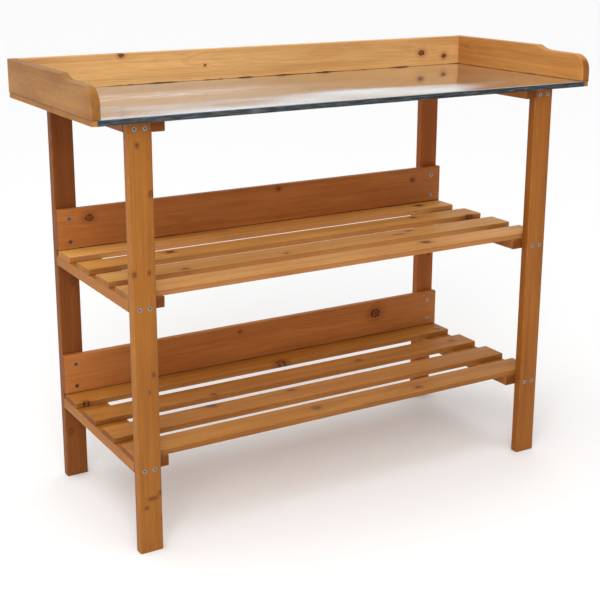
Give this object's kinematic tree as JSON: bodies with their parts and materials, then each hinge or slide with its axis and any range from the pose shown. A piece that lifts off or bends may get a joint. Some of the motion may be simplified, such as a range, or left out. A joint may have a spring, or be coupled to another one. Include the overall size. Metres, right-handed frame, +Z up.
{
  "type": "potting bench",
  "caption": "Free-standing wooden potting bench: galvanised worktop with a folded front lip inside low upstands, and slatted shelves with back boards on slim legs",
  "frame": {"origin": "on the floor, under the middle of the bench's outer box", "axes": "+X along the bench to the right of a person who stands at the front, +Y from the front to the back, +Z up"},
  "size_m": [1, 0.392, 0.804],
  "materials": {
    "leg_fir": "honey-brown stained fir, planed, satin",
    "bearer_fir": "honey-brown stained fir, planed, satin",
    "slat_fir": "honey-brown stained fir with knots, planed, satin",
    "back_board_fir": "red-brown stained fir with knots, planed, satin",
    "panel_fir": "light honey stained fir, planed, satin",
    "base_board_wood": "light stained softwood board",
    "galvanised_steel": "galvanised steel sheet with a faint spangle, satin to glossy",
    "screw_steel": "zinc-plated steel"
  },
  "bodies": {
    "root": {"back_board_screws": "screw_steel", "back_leg_screws": "screw_steel", "back_panel": "panel_fir", "front_leg_screws": "screw_steel", "galvanised_sheet": "galvanised_steel", "leg_back_left": "leg_fir", "leg_back_right": "leg_fir", "leg_front_left": "leg_fir", "leg_front_right": "leg_fir", "low_back_board": "back_board_fir", "low_bearer_left": "bearer_fir", "low_bearer_right": "bearer_fir", "low_slat_1": "slat_fir", "low_slat_2": "slat_fir", "low_slat_3": "slat_fir", "low_slat_4": "slat_fir", "mid_back_board": "back_board_fir", "mid_bearer_left": "bearer_fir", "mid_bearer_right": "bearer_fir", "mid_slat_1": "slat_fir", "mid_slat_2": "slat_fir", "mid_slat_3": "slat_fir", "mid_slat_4": "slat_fir", "panel_screws": "screw_steel", "side_panel_left": "panel_fir", "side_panel_right": "panel_fir", "slat_screws": "screw_steel", "top_bearer_left": "bearer_fir", "top_bearer_right": "bearer_fir", "worktop_base_board": "base_board_wood", "worktop_screws": "screw_steel"}
  },
  "joints": []
}
